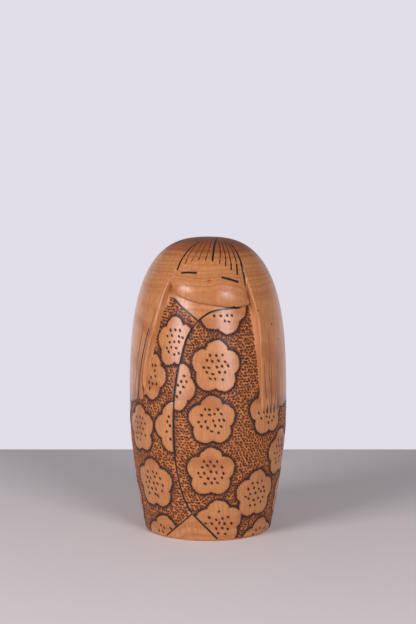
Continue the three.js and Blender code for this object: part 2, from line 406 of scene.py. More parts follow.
# %% Faces of the grid
row_count, column_count = rows.shape[:2]
grid = np.arange(row_count * column_count).reshape(row_count, column_count)
right_of = np.roll(grid, -1, axis=1)
quads = np.stack([grid[:-1], right_of[:-1], right_of[1:], grid[1:]], -1).reshape(-1, 4)
drill_tip, crown_top = row_count * column_count, row_count * column_count + 1
BORE_TOP = 130
points = np.concatenate([rows.reshape(-1, 3), [[0, 0, BORE_TOP], [0, 0, HEIGHT]]])
tip_fan = np.stack([right_of[0], grid[0], np.full(column_count, drill_tip)], -1)
crown_fan = np.stack([grid[-1], right_of[-1], np.full(column_count, crown_top)], -1)
faces = quads.tolist() + tip_fan.tolist() + crown_fan.tolist()
corners = np.concatenate([quads.ravel(), tip_fan.ravel(), crown_fan.ravel()])
face_of_corner = np.repeat(np.arange(len(faces)), [len(f) for f in faces])
face_middle = np.stack([np.bincount(face_of_corner, points[corners, k]) for k in range(3)], -1)
face_middle /= np.bincount(face_of_corner)[:, None]
print(len(points), "vertices,", len(faces), "faces")

# %% [markdown]
# ## Strokes of the pen
#
# Everything drawn on the doll is a stroke: a long line, a peck or a dot. Painting them on an image would
# need a texture, and cutting each one into the mesh would need millions of faces. Instead each stroke has a
# place, a direction and a width in millimetres, and every face of the grid asks for its nearest one. The
# face's corners store how far along and across that stroke they are, and the material turns these numbers
# into a crisp mark with a soft burnt edge.

# %% Frames for strokes
def carved_place(angle, height):
    """The place on the carved surface."""
    left, right = panel_edges(height)
    scale = mm_per_degree(height)
    share = ease(np.minimum(angle - left, right - angle) * scale, -1.5, 0)
    return on_doll(angle, height, turned_radius(height) - share * carved_depth(angle, height))


def out_of_doll(places):
    """The outward direction of the turned surface at each place."""
    flat = np.hypot(places[:, 0], places[:, 1])
    rise = turned_radius(places[:, 2] + 0.2) - turned_radius(places[:, 2] - 0.2)
    steep = np.clip(-rise / 0.4, -1, 6)
    out = np.stack([places[:, 0] / np.maximum(flat, 0.1), places[:, 1] / np.maximum(flat, 0.1), steep], -1)
    return out / np.linalg.norm(out, axis=1, keepdims=True)


def unit(vectors):
    """The same directions, each 1 long."""
    return vectors / np.maximum(np.linalg.norm(vectors, axis=-1, keepdims=True), 1e-9)


def nearest(places, wanted, count):
    """For each wanted point, the numbers of its nearest places and how far the first one is."""
    tree = kdtree.KDTree(len(places))
    for number, place in enumerate(places):
        tree.insert(place, number)
    tree.balance()
    found = [tree.find_n(point, count) for point in wanted]
    return np.array([[f[1] for f in one] for one in found]), np.array([one[0][2] for one in found])


print("the middle of the panel, 120 mm up:", np.round(carved_place(0, 120), 1))

# %% [markdown]
# ## Long lines: eyes, collar, lap, parting and hair
#
# The dark lines are burnt and then touched with ink, so the main ones are nearly black and the fine strands
# of the fringe stay brown. Lines on the sides are set by angle and height. The crown is nearly flat, where
# an angle says little, so its lines are set in plan, as seen from above.

# %% The long lines
# The colours are places on a ramp of inks. A line is a list of angles and heights, its width at both ends in
# millimetres, and its colour.
RED, BROWN, DARK, BLACK = 0.0, 0.4, 0.7, 1.0
SIDE_LINES = [
    (LAP[::-1], 1.15, 1.4, BLACK), (RIGHT_COLLAR, 1.3, 1.1, BLACK), (LEFT_COLLAR, 1.6, 1.3, BLACK),
    ([(-12.9, 18.4), (-20.6, 12.9), (-28.6, 7.9), (-39.1, 1.4)], 1.0, 1.0, BLACK),
    ([(-26.3, 169.5), (-18, 169.9), (-10.6, 169.6)], 1.5, 1.6, BLACK),
    ([(12.5, 167), (20, 165.7), (27.9, 163.9)], 1.5, 1.9, BLACK),
    ([(-0.5, 165.4), (3.2, 165.1)], 0.75, 0.6, RED),
    ([(0.1, 165.2), (0.9, 164.2), (1.6, 163.4)], 0.7, 0.5, RED),
    ([(-49.9, 134), (-52.8, 124.8), (-55.5, 115.7), (-57.9, 105.9), (-59.7, 95.4), (-61.5, 86)],
     1.0, 1.6, DARK),
    ([(-56.9, 135.8), (-59.7, 122.9), (-62.2, 113.1), (-64.1, 103.2), (-66.6, 93.3), (-67.5, 86)],
     0.8, 1.3, BROWN),
    ([(-44.5, 146), (-47.5, 136), (-51, 122), (-53.6, 112), (-55.6, 100)], 0.45, 0.6, BROWN),
    ([(-63.9, 122.5), (-66.4, 111.3), (-68.6, 100.8), (-71.2, 86)], 0.3, 1.3, BROWN),
    # Gum flecks in the wood beside the face, and short strands.
    ([(41.9, 146.4), (42.3, 145.4)], 1.3, 1.5, BROWN), ([(56.2, 137.2), (56.5, 135.6)], 1.4, 1.1, BROWN),
    ([(65, 126.8), (65.2, 125)], 1.2, 1.0, BROWN),
    ([(49.2, 107.6), (49.9, 103.6), (50.6, 99.6)], 0.7, 1.1, BROWN),
    ([(51, 132), (50.6, 121), (50.9, 112)], 0.4, 0.7, BROWN),
    ([(44.4, 113), (44.9, 101), (46.2, 90)], 0.35, 0.9, BROWN),
]
CROWN_LINES = [  # x and y from the turning axis, in millimetres, in place of angle and height
    ([(5.9, -4.2), (5.1, -14.2), (3.8, -24.9), (3.2, -29.8), (2.8, -33.4)], 1.0, 1.3, BLACK),
    ([(-5, -16.9), (-8.5, -20.4), (-12.5, -24.3), (-15.4, -27.5), (-17.7, -29.9), (-19.5, -32)],
     0.8, 1.35, BLACK),
    ([(14.1, -15.4), (17.2, -21.1), (19.8, -25.8), (21.7, -29.9), (23.1, -32.6), (24.1, -34.7)],
     0.9, 1.5, BLACK),
    ([(-5.6, -14.1), (-9, -23.6), (-13, -29.7), (-14.2, -31.9)], 0.75, 0.6, BROWN),
    ([(-2.6, -14.7), (-5.5, -24.6), (-8.7, -30.4), (-10.4, -32.2)], 0.75, 0.6, BROWN),
    ([(0, -14.9), (-2, -23.3), (-4.4, -29.3), (-6, -32.6)], 0.75, 0.6, BROWN),
    ([(2.7, -11.3), (1.2, -23.4), (-0.3, -29.5), (-1.6, -33.1)], 0.75, 0.6, BROWN),
    ([(6.6, -16.4), (7.6, -24.9), (7.7, -29.8), (7.2, -34)], 0.6, 0.7, DARK),
    ([(8.5, -15.7), (9.9, -24.2), (11, -30), (11.1, -34.2)], 0.6, 0.75, DARK),
    ([(10.6, -14.6), (12.5, -23.9), (14.1, -30), (14.8, -34.2)], 0.6, 0.8, DARK),
    ([(12.3, -15.2), (15.4, -23.1), (17.7, -29.4), (18.8, -34.1)], 0.6, 0.9, DARK),
]
FRINGE_TIPS = [
    ([(-13, -29.7), (-14.2, -31.9)], 0.75, 0.6, BLACK), ([(-9.3, -31), (-10.4, -32.3)], 0.7, 0.6, BLACK),
    ([(-5.2, -31.2), (-6, -32.7)], 0.7, 0.6, BLACK), ([(-1.1, -31.2), (-1.6, -33.2)], 0.7, 0.6, BLACK),
    ([(7.5, -31.8), (7.2, -34.1)], 0.7, 0.7, BLACK), ([(11, -32), (11.1, -34.3)], 0.75, 0.7, BLACK),
    ([(14.4, -31.6), (14.8, -34.3)], 1.0, 1.1, BLACK), ([(17.9, -30), (18.8, -34.2)], 1.1, 1.4, BLACK),
]
print(len(SIDE_LINES), "lines on the sides,", len(CROWN_LINES) + len(FRINGE_TIPS), "on the crown")

# %% Hair: combed strands and burnt tips
chance = np.random.default_rng(38)  # every draw comes from this one seed, so each run gives the same doll


def combed_strands():
    """Fine brown strands down the sides and the back, each ending near the robe."""
    strands = []
    for start in np.arange(50, 308, 3.4):
        middle = start + chance.uniform(-1.2, 1.2)
        low = float(hair_end(wrap(middle))) + chance.uniform(-2.5, 1)
        top = low + chance.uniform(12, 52)
        lean = chance.uniform(-1.5, 1.5)
        heights = np.linspace(low, top, 6)
        turns = middle + lean * np.sin((heights - low) / 24) + chance.uniform(-0.2, 0.2, 6)
        strands.append((list(zip(turns, heights)), chance.uniform(0.5, 1.1), 0.25, BROWN))
    return strands


def burnt_tips():
    """Short dark dabs where the hair ends."""
    tips = [([(turn, 80.6), (turn, 83), (turn + 0.1, 86.5)], 1.7, 0.4, DARK) for turn in (47.2, 51, 55.2)]
    for middle in np.arange(60, 300, 1.8):
        middle = middle + chance.uniform(-0.6, 0.6)
        low = float(hair_end(wrap(middle))) - chance.uniform(0.5, 4)
        high = low + chance.uniform(4, 9)
        tips.append(([(middle, low), (middle + 0.1, high)], chance.uniform(0.9, 1.7), 0.3, DARK))
    return tips


hair_lines = combed_strands() + burnt_tips()
print(len(hair_lines), "strands and tips")

# %% Lay the long lines on the surface
SAMPLE_STEP = 0.45


def lay_line(line, in_plan):
    """A long line as close samples: place, direction, half width, length before and after, and colour."""
    track, start_width, end_width, colour = line
    track = np.array(track, float)
    run = np.concatenate([[0], np.cumsum(np.hypot(*np.diff(track, axis=0).T))])
    places = np.linspace(0, run[-1], max(int(run[-1] / SAMPLE_STEP), 4))
    if len(track) > 2:
        first, second = (curve_through(run, track[:, k])(places) for k in range(2))
    else:
        first, second = (np.interp(places, run, track[:, k]) for k in range(2))
    if in_plan:
        turn, flat = np.degrees(np.arctan2(first, -second)), np.hypot(first, second)
        spots = carved_place(turn, dome_height(flat))
    else:
        spots = carved_place(first, second)
    ahead = unit(np.gradient(spots, axis=0))
    passed = np.concatenate([[0], np.cumsum(np.linalg.norm(np.diff(spots, axis=0), axis=1))])
    half = np.linspace(start_width, end_width, len(spots)) / 2
    return np.column_stack([spots, ahead, half, passed, passed[-1] - passed, np.full(len(spots), colour)])


laid = np.concatenate([lay_line(line, False) for line in SIDE_LINES + hair_lines]
                      + [lay_line(line, True) for line in CROWN_LINES + FRINGE_TIPS])
line_across = unit(np.cross(laid[:, 3:6], out_of_doll(laid[:, :3])))
print(len(laid), "line samples")

# %% Each face's nearest line
# The nearest sample isn't always the nearest line where two cross, so the best of four is taken.
CANDIDATES, REACH = 4, 4
candidates, gap = nearest(laid[:, :3], face_middle, CANDIDATES)
reach = face_middle[:, None] - laid[candidates, :3]
sideways = abs((reach * line_across[candidates]).sum(-1)) - laid[candidates, 6]
beyond = np.maximum(abs((reach * laid[candidates, 3:6]).sum(-1)) - 0.6, 0)
chosen = candidates[np.arange(len(faces)), np.argmin(sideways + beyond, axis=1)]
stroke = laid[chosen][face_of_corner]
offset = points[corners] - stroke[:, :3]
across = (offset * line_across[chosen][face_of_corner]).sum(-1) / stroke[:, 6]
forward = (offset * stroke[:, 3:6]).sum(-1)
to_end = np.minimum(stroke[:, 7] + forward, stroke[:, 8] - forward)
across = np.where(gap[face_of_corner] < REACH, across, FAR)
line_numbers = np.stack([across, to_end, stroke[:, 9]], -1)
print("faces near a line:", int((gap < 1).sum()))

# %% [markdown]
# ## Pecks, rims and stamens
#
# The ground is pecked: thousands of short touches of a chisel-shaped hot tip, about 2 mm long and 1.3 mm
# wide. Round each blossom they stand like rays, and between blossoms they slant. Stamens are single touches
# in the middle of a blossom. Scattering them at random would leave clumps and bald spots, so each starts
# from an even lattice and is pushed a little off it, as a hand does.

# %% The ground's pecks
PECK_TURN, PECK_RISE = 2.4, 1.78  # degrees and millimetres between neighbours, both about 2 mm


def lattice():
    """Even places all over the robe, each pushed a little aside."""
    turns, heights = np.meshgrid(np.arange(0, 360, PECK_TURN), np.arange(0.7, 156, PECK_RISE))
    turns = turns + (np.arange(len(turns)) % 2)[:, None] * PECK_TURN / 2
    turns = wrap(turns + chance.uniform(-0.65, 0.65, turns.shape)).ravel()
    return turns, (heights + chance.uniform(-0.5, 0.5, heights.shape)).ravel()


def away_from_blossom(turns, heights):
    """The direction, in degrees from level, that leads straight away from the nearest blossom."""
    east = inside_blossom(turns + 0.3, heights) - inside_blossom(turns - 0.3, heights)
    north = inside_blossom(turns, heights + 0.25) - inside_blossom(turns, heights - 0.25)
    return np.degrees(np.arctan2(-north / 0.5, -east / (0.6 * mm_per_degree(heights))))


# Pecks keep clear of the robe's borders, of the rays that stand round each petal and of the black lines.
turns, heights = lattice()
to_petal = -inside_blossom(turns, heights)
keep = (inside_robe(turns, heights) > 0.35) & (to_petal > 2.1)
turns, heights, to_petal = turns[keep], heights[keep], to_petal[keep]
_, clear = nearest(laid[laid[:, 9] == BLACK, :3], carved_place(turns, heights), 1)
keep = clear > 1
turns, heights, to_petal = turns[keep], heights[keep], to_petal[keep]
flow = -38 + 25 * np.sin(turns / 23) * np.cos(heights / 17)
slant = np.where(to_petal < 4.5, away_from_blossom(turns, heights), flow) + chance.normal(0, 18, len(turns))
# Each touch is an angle, a height, a direction, half its length, half its width and how dark it is.
pecks = np.column_stack([turns, heights, slant, chance.uniform(0.75, 1.2, len(turns)),
                         chance.uniform(0.52, 0.82, len(turns)), chance.uniform(0.72, 1, len(turns))])
print(len(pecks), "pecks")

# %% Rays round each blossom
RAY_GAP = 1.5


def rays_round(blossom):
    """Touches a ray gap apart round one outline, pointing away from it."""
    middle, level, direction, size, width, side = blossom
    turn = np.radians(np.arange(0, 360, 0.5))
    out = np.linspace(size * 0.6, size + 1, 60)[:, None]
    inside = inside_outline(out * np.cos(turn), out * np.sin(turn), direction, size) > 0
    edge = out[inside.sum(0) - 1, 0]
    across, up = edge * np.cos(turn) * width, edge * np.sin(turn)
    run = np.cumsum(np.hypot(np.diff(across, prepend=across[:1]), np.diff(up, prepend=up[:1])))
    step = np.searchsorted(run, np.arange(0, run[-1], RAY_GAP))
    heights = level + up[step]
    turns = middle + across[step] / mm_per_degree(heights)
    lead = np.radians(away_from_blossom(turns, heights))
    shift = 1.15 + chance.uniform(-0.1, 0.25, len(step))
    turns = turns + shift * np.cos(lead) / mm_per_degree(heights)
    return turns, heights + shift * np.sin(lead), np.degrees(lead)


# A ray stays where it lies on the ground, just off a petal. Those that fall on another blossom go.
rays = np.concatenate([np.column_stack(rays_round(b)) for b in BLOSSOMS])
to_petal = -inside_blossom(rays[:, 0], rays[:, 1])
rays = rays[(to_petal > 0.5) & (to_petal < 1.9) & (inside_robe(rays[:, 0], rays[:, 1]) > 0.3)]
rays = np.column_stack([rays[:, :2], rays[:, 2] + chance.normal(0, 10, len(rays)),
                        chance.uniform(0.7, 1.35, len(rays)), chance.uniform(0.45, 0.75, len(rays)),
                        np.ones(len(rays))])
print(len(rays), "rays")

# %% Stamens
STAMEN_GAP, STAMEN_RISE = 4.1, 3.6


def stamens_in(blossom):
    """Dots on a lattice, each pushed a little aside, in the middle of one blossom."""
    middle, level, direction, size, width, side = blossom
    across, up = np.meshgrid(np.arange(-3, 4) * STAMEN_GAP, np.arange(-3, 4) * STAMEN_RISE)
    every_second = (np.arange(-3, 4) % 2)[:, None] * STAMEN_GAP / 2
    across = (across + every_second + chance.normal(0, 0.45, across.shape)).ravel()
    up = (up + chance.normal(0, 0.45, up.shape)).ravel()
    near = np.hypot(across / width, up) < 0.58 * size
    heights = level + up[near]
    return middle + across[near] / mm_per_degree(heights), heights


stamens = np.concatenate([np.column_stack(stamens_in(b)) for b in BLOSSOMS])
stamens = stamens[inside_blossom(stamens[:, 0], stamens[:, 1]) > 1.3]
stamens = np.column_stack([stamens, chance.normal(-55, 18, len(stamens)),
                           chance.uniform(0.85, 1.15, len(stamens)), chance.uniform(0.62, 0.82, len(stamens)),
                           np.ones(len(stamens))])
print(len(stamens), "stamens")

# %% Each face's nearest touch
touches = np.concatenate([pecks, rays, stamens])
touch_place = carved_place(touches[:, 0], touches[:, 1])
turn = np.radians(touches[:, 0])
level_way = np.column_stack([np.cos(turn), np.sin(turn), np.zeros(len(touches))])
upward = unit(np.cross(out_of_doll(touch_place), level_way))
lead = np.radians(touches[:, 2])[:, None]
touch_along = level_way * np.cos(lead) + upward * np.sin(lead)
touch_across = upward * np.cos(lead) - level_way * np.sin(lead)

candidates, gap = nearest(touch_place, face_middle, CANDIDATES)
reach = face_middle[:, None] - touch_place[candidates]
half_length, half_width = touches[candidates, 3], touches[candidates, 4]
oval = (((reach * touch_along[candidates]).sum(-1) / half_length) ** 2
        + ((reach * touch_across[candidates]).sum(-1) / half_width) ** 2)
chosen = candidates[np.arange(len(faces)), np.argmin(oval, axis=1)][face_of_corner]
offset = points[corners] - touch_place[chosen]
along = (offset * touch_along[chosen]).sum(-1) / touches[chosen, 3]
across = (offset * touch_across[chosen]).sum(-1) / touches[chosen, 4]
touch_numbers = np.stack([along, across, touches[chosen, 5]], -1)
touch_numbers[gap[face_of_corner] > REACH, 0] = FAR
print(len(touches), "touches in all")

# %% Make the billet
mesh = bpy.data.meshes.new("kokeshi_billet")
mesh.from_pydata((points * MM).tolist(), [], faces)
mesh.polygons.foreach_set("use_smooth", np.ones(len(faces), bool))
bottom_count = bottom_rows.shape[0] * column_count
for name, values in (("robe", robe_here), ("petal", petal_here)):
    numbers = np.concatenate([np.full(bottom_count, UNDERSIDE_MARK), values.ravel(), [UNDERSIDE_MARK] * 2])
    mesh.attributes.new(name, "FLOAT", "POINT").data.foreach_set("value", numbers.astype(np.float32))
for name, values in (("line", line_numbers), ("touch", touch_numbers)):
    numbers = values.astype(np.float32).ravel()
    mesh.attributes.new(name, "FLOAT_VECTOR", "CORNER").data.foreach_set("vector", numbers)
mesh.validate()
billet = bpy.data.objects.new("kokeshi_billet", mesh)
bpy.context.collection.objects.link(billet)
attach(billet, "root")
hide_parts("body")
print("billet:", len(mesh.polygons), "faces")

# %% [markdown]
# ## Waxed cherry, burnt
#
# Cherry is a warm, even wood with fine growth rings. Turned from a whole billet, its rings show as level
# bands on the crown and as long streaks down the sides, and the heartwood near the pith is redder. The hot
# pen turns it orange-brown, then nearly black, and makes it matt. Wax over a fine sanded surface gives a
# soft, broad shine. The rings are built round the pith in three dimensions, so that they agree on every
# side of the doll, as no flat pattern could.
#
# A material is a net of nodes, so one small function adds a node, sets it and wires its inputs. Colours are
# hex codes, which are sRGB. Shaders work in linear light, so another function turns one into the other.

# %% Helpers for colour and nodes
def to_linear(code):
    """An sRGB hex colour as the linear red, green, blue and alpha of a shader."""
    parts = [int(code[i:i + 2], 16) / 255 for i in (1, 3, 5)]
    return [p / 12.92 if p <= 0.04045 else ((p + 0.055) / 1.055) ** 2.4 for p in parts] + [1.0]


def add(tree, kind, inputs=None, **settings):
    """A new node. settings are its own options, and inputs gives each socket a value, a node or an output."""
    node = tree.nodes.new(kind)
    for name, value in settings.items():
        setattr(node, name, value)
    for place, value in (inputs or {}).items():
        sockets = [s for s in node.inputs if s.enabled]
        socket = sockets[place] if isinstance(place, int) else next(s for s in sockets if s.name == place)
        if isinstance(value, bpy.types.Node):
            value = next(s for s in value.outputs if s.enabled)
        if isinstance(value, bpy.types.NodeSocket):
            tree.links.new(value, socket)
        else:
            socket.default_value = value
    return node


print("cherry brown in linear light:", [round(p, 3) for p in to_linear("#b77b50")])

# %% Places in the wood
waxed = bpy.data.materials.new("waxed_cherry")
waxed.use_nodes = True
tree = waxed.node_tree
tree.nodes.clear()
MATH, VECTOR, MIX = "ShaderNodeMath", "ShaderNodeVectorMath", "ShaderNodeMix"
RANGE, NOISE = "ShaderNodeMapRange", "ShaderNodeTexNoise"
SMOOTH = {"interpolation_type": "SMOOTHSTEP"}
COLOUR = {"data_type": "RGBA"}

# Places in millimetres, from the doll's own axes. The pith is 1 mm off the turning axis.
metres = add(tree, "ShaderNodeTexCoord").outputs["Object"]
place = add(tree, VECTOR, {0: metres, "Scale": 1 / MM}, operation="SCALE")
beside_pith = add(tree, VECTOR, {0: place, 1: (-0.8, 0.6, 0.0)}, operation="ADD")
level_part = add(tree, VECTOR, {0: beside_pith, 1: (1.0, 1.0, 0.0)}, operation="MULTIPLY")
from_pith = add(tree, VECTOR, {0: level_part}, operation="LENGTH")
bow = add(tree, NOISE, {"Vector": place, "Scale": 0.03, "Detail": 2.0})
bow = add(tree, MATH, {0: bow, 1: 3.4, 2: -1.7}, operation="MULTIPLY_ADD")
ring = add(tree, MATH, {0: from_pith, 1: bow}, operation="ADD")
print("rings are measured from the pith and bowed up to 1.7 mm")

# %% Heartwood, growth rings and fibre
# Millimetres from the pith and the wood's colour there: red heartwood up to a ring at 28 mm, then paler wood.
WOOD_FROM_PITH = [(0, "#64331a"), (3, "#7d4421"), (18, "#864722"), (27.6, "#9a572d"), (29.2, "#b57542"),
                  (35, "#bf8250"), (52, "#be8150")]
BARK = WOOD_FROM_PITH[-1][0]
heart = add(tree, "ShaderNodeValToRGB", {0: add(tree, MATH, {0: ring, 1: 1 / BARK}, operation="MULTIPLY")})
stops = heart.color_ramp.elements
stops[1].position = 1.0
for ring_radius, code in WOOD_FROM_PITH[1:-1]:
    stops.new(ring_radius / BARK).color = to_linear(code)
stops[0].color, stops[-1].color = to_linear(WOOD_FROM_PITH[0][1]), to_linear(WOOD_FROM_PITH[-1][1])

# Rings in cherry are 1 to 3 mm apart, and the late part of each is darker.
rings = add(tree, NOISE, {"W": ring, "Scale": 0.5, "Detail": 3.0, "Roughness": 0.6}, noise_dimensions="1D")
late = add(tree, RANGE, {"Value": rings, "From Min": 0.42, "From Max": 0.7}, **SMOOTH)
wood = add(tree, MIX, {0: late, 1: heart, 2: to_linear("#e2cfc2")}, blend_type="MULTIPLY", **COLOUR)
# A few rings of dry years stand out: radius, half width and strength.
DRY_YEARS = [(28.6, 0.6, 0.45), (37.6, 0.5, 0.28), (39.7, 0.35, 0.25), (41.1, 0.35, 0.25), (43.6, 0.4, 0.2)]
for ring_radius, half_width, strength in DRY_YEARS:
    away = add(tree, MATH, {0: ring, 1: ring_radius}, operation="SUBTRACT")
    away = add(tree, MATH, {0: away}, operation="ABSOLUTE")
    band = {"Value": away, "From Max": half_width, "To Min": strength, "To Max": 0.0}
    band = add(tree, RANGE, band, **SMOOTH)
    wood = add(tree, MIX, {0: band, 1: wood, 2: to_linear("#6f3d20")}, **COLOUR)
print(len(stops), "colours from pith to bark")

# %% Fibre, streaks and clouds
# Fibres run along the billet. Real ones are 0.02 mm wide, far too fine to show, so bundles of 0.5 mm are drawn.
along = add(tree, VECTOR, {0: place, 1: (1.0, 1.0, 0.035)}, operation="MULTIPLY")
fibre = add(tree, NOISE, {"Vector": along, "Scale": 0.9, "Detail": 4.0, "Roughness": 0.65})
share = add(tree, RANGE, {"Value": fibre, "From Min": 0.38, "From Max": 0.72, "To Max": 0.5}, **SMOOTH)
wood = add(tree, MIX, {0: share, 1: wood, 2: to_linear("#925424")}, **COLOUR)
# Gum leaves redder streaks 1 to 3 mm wide and many centimetres long.
along = add(tree, VECTOR, {0: place, 1: (1.0, 1.0, 0.02)}, operation="MULTIPLY")
streak = add(tree, NOISE, {"Vector": along, "Scale": 0.4, "Detail": 3.0, "Roughness": 0.5})
share = add(tree, RANGE, {"Value": streak, "From Min": 0.5, "From Max": 0.72, "To Max": 0.32}, **SMOOTH)
wood = add(tree, MIX, {0: share, 1: wood, 2: to_linear("#93522a")}, **COLOUR)
cloud = add(tree, NOISE, {"Vector": place, "Scale": 0.045, "Detail": 2.0})
share = add(tree, RANGE, {"Value": cloud, "From Min": 0.35, "From Max": 0.7, "To Max": 0.35}, **SMOOTH)
wood = add(tree, MIX, {0: share, 1: wood, 2: to_linear("#b0703f")}, **COLOUR)
print(len(tree.nodes), "nodes so far, for plain wood")

# %% Where the pen has been
robe = add(tree, "ShaderNodeAttribute", attribute_name="robe").outputs["Fac"]
petal = add(tree, "ShaderNodeAttribute", attribute_name="petal").outputs["Fac"]
touch = add(tree, "ShaderNodeAttribute", attribute_name="touch").outputs["Vector"]
touch = add(tree, "ShaderNodeSeparateXYZ", {0: touch})
line = add(tree, "ShaderNodeAttribute", attribute_name="line").outputs["Vector"]
line = add(tree, "ShaderNodeSeparateXYZ", {0: line})
on_robe = add(tree, RANGE, {"Value": robe, "From Min": -0.1, "From Max": 0.15}, **SMOOTH)

# The rim is burnt touch by touch, so its petal side wavers by 0.3 mm and its outer side by 0.8 mm.
shake = add(tree, NOISE, {"Vector": place, "Scale": 0.9, "Detail": 1.0})
wavering = add(tree, MATH, {0: shake, 1: 1.6, 2: petal}, operation="MULTIPLY_ADD")
outside = add(tree, RANGE, {"Value": wavering, "From Min": 0.91, "From Max": 0.69}, **SMOOTH)
ground = add(tree, MATH, {0: outside, 1: on_robe}, operation="MULTIPLY")
ragged = add(tree, MATH, {0: shake, 1: 3.0, 2: petal}, operation="MULTIPLY_ADD")
rim = add(tree, RANGE, {"Value": ragged, "From Min": 0.25, "From Max": 0.75}, **SMOOTH)
rim = add(tree, MATH, {0: rim, 1: ground}, operation="MULTIPLY")
scorch = add(tree, RANGE, {"Value": ragged, "From Min": -2.4, "From Max": 0.9, "To Max": 0.9}, **SMOOTH)
scorch = add(tree, MATH, {0: scorch, 1: ground}, operation="MULTIPLY")
print("a rim about 1 mm wide and a scorched band that fades over 3 mm round each blossom")

# %% Touches and lines
squares = [add(tree, MATH, {0: touch.outputs[k], 1: 2.0}, operation="POWER") for k in (0, 1)]
oval = add(tree, MATH, {0: squares[0], 1: squares[1]}, operation="ADD")
peck = add(tree, RANGE, {
    "Value": oval, "From Min": 0.65, "From Max": 1.25, "To Min": 1.0, "To Max": 0.0}, **SMOOTH)
peck = add(tree, MATH, {0: peck, 1: touch.outputs[2]}, operation="MULTIPLY")
peck = add(tree, MATH, {0: peck, 1: on_robe}, operation="MULTIPLY")
halo = add(tree, RANGE, {
    "Value": oval, "From Min": 0.8, "From Max": 2.2, "To Min": 0.6, "To Max": 0.0}, **SMOOTH)
halo = add(tree, MATH, {0: halo, 1: on_robe}, operation="MULTIPLY")
thick = add(tree, MATH, {0: line.outputs[0]}, operation="ABSOLUTE")
pen = add(tree, RANGE, {
    "Value": thick, "From Min": 0.75, "From Max": 1.15, "To Min": 1.0, "To Max": 0.0}, **SMOOTH)
at_end = add(tree, RANGE, {"Value": line.outputs[1], "From Min": -0.3, "From Max": 0.2}, **SMOOTH)
pen = add(tree, MATH, {0: pen, 1: at_end}, operation="MULTIPLY")
print("edges of touches and lines fade over a fifth of their width")

# %% Burnt colours, from the faintest to the darkest
flecks = add(tree, NOISE, {"Vector": place, "Scale": 0.5, "Detail": 2.0, "Roughness": 0.6})
flecks = add(tree, RANGE, {
    "Value": flecks, "From Min": 0.38, "From Max": 0.6, "To Min": 0.3, "To Max": 0.9}, **SMOOTH)
toast = add(tree, MATH, {0: flecks, 1: ground}, operation="MULTIPLY")
inner = add(tree, RANGE, {"Value": petal, "From Max": 1.6, "To Min": 0.4, "To Max": 0.0}, **SMOOTH)
inside = add(tree, RANGE, {"Value": petal, "From Min": -0.2, "From Max": 0.0}, **SMOOTH)
inner = add(tree, MATH, {0: inner, 1: inside}, operation="MULTIPLY")
ink = add(tree, "ShaderNodeValToRGB", {0: line.outputs[2]})
ink.color_ramp.interpolation = "CONSTANT"
inks = ink.color_ramp.elements
inks[0].color = to_linear("#b3241c")
inks[1].position, inks[1].color = 0.85, to_linear("#16100e")
inks.new(0.2).color = to_linear("#6e3216")
inks.new(0.55).color = to_linear("#2f170d")
BURNT = [(inner, "#8f5426"), (toast, "#b8651f"), (scorch, "#5e2e0c"), (halo, "#74390c"), (rim, "#2a120a"),
         (peck, "#38150a")]
colour = wood
for share, code in BURNT:
    colour = add(tree, MIX, {0: share, 1: colour, 2: to_linear(code)}, **COLOUR)
colour = add(tree, MIX, {0: pen, 1: colour, 2: ink}, **COLOUR)
print("six burnt colours and the ink laid over the wood")

# %% Surface and shine
# Cherry under a finish has an IOR near 1.5, and wax adds a thin coat. Charred wood is matt, so it is rougher.
marks = add(tree, MATH, {0: peck, 1: rim}, operation="MAXIMUM")
burnt = add(tree, MATH, {0: ground, 1: 0.8}, operation="MULTIPLY")
burnt = add(tree, MATH, {0: burnt, 1: marks}, operation="MAXIMUM")
rough = add(tree, RANGE, {"Value": burnt, "To Min": 0.25, "To Max": 0.78})
rough = add(tree, MATH, {0: fibre, 1: 0.15, 2: rough}, operation="MULTIPLY_ADD")
# Heights in millimetres: a touch is pressed 0.2 mm deep, a line 0.15 mm, and fibre stands 0.03 mm proud.
deep = add(tree, MATH, {0: marks, 1: -0.2}, operation="MULTIPLY")
deep = add(tree, MATH, {0: pen, 1: -0.15, 2: deep}, operation="MULTIPLY_ADD")
relief = add(tree, MATH, {0: fibre, 1: 0.03, 2: deep}, operation="MULTIPLY_ADD")
bump = add(tree, "ShaderNodeBump", {"Height": relief, "Distance": MM, "Strength": 0.8})
shader = add(tree, "ShaderNodeBsdfPrincipled", {
    "Base Color": colour, "Roughness": rough, "IOR": 1.47, "Normal": bump,
    "Coat Weight": 0.1, "Coat Roughness": 0.2})
add(tree, "ShaderNodeOutputMaterial", {"Surface": shader})
mesh.materials.append(waxed)
print(len(tree.nodes), "nodes in waxed cherry")

# %% [markdown]
# ## The base plug
#
# A thick billet cracks unless it is bored out from below, and a turned plug of bare cherry closes the bore.
# It is seen only when the doll is picked up. A lathe profile spun round the axis makes it, with a small
# bevel on each rim and the shallow rings that the turning tool leaves on its face.

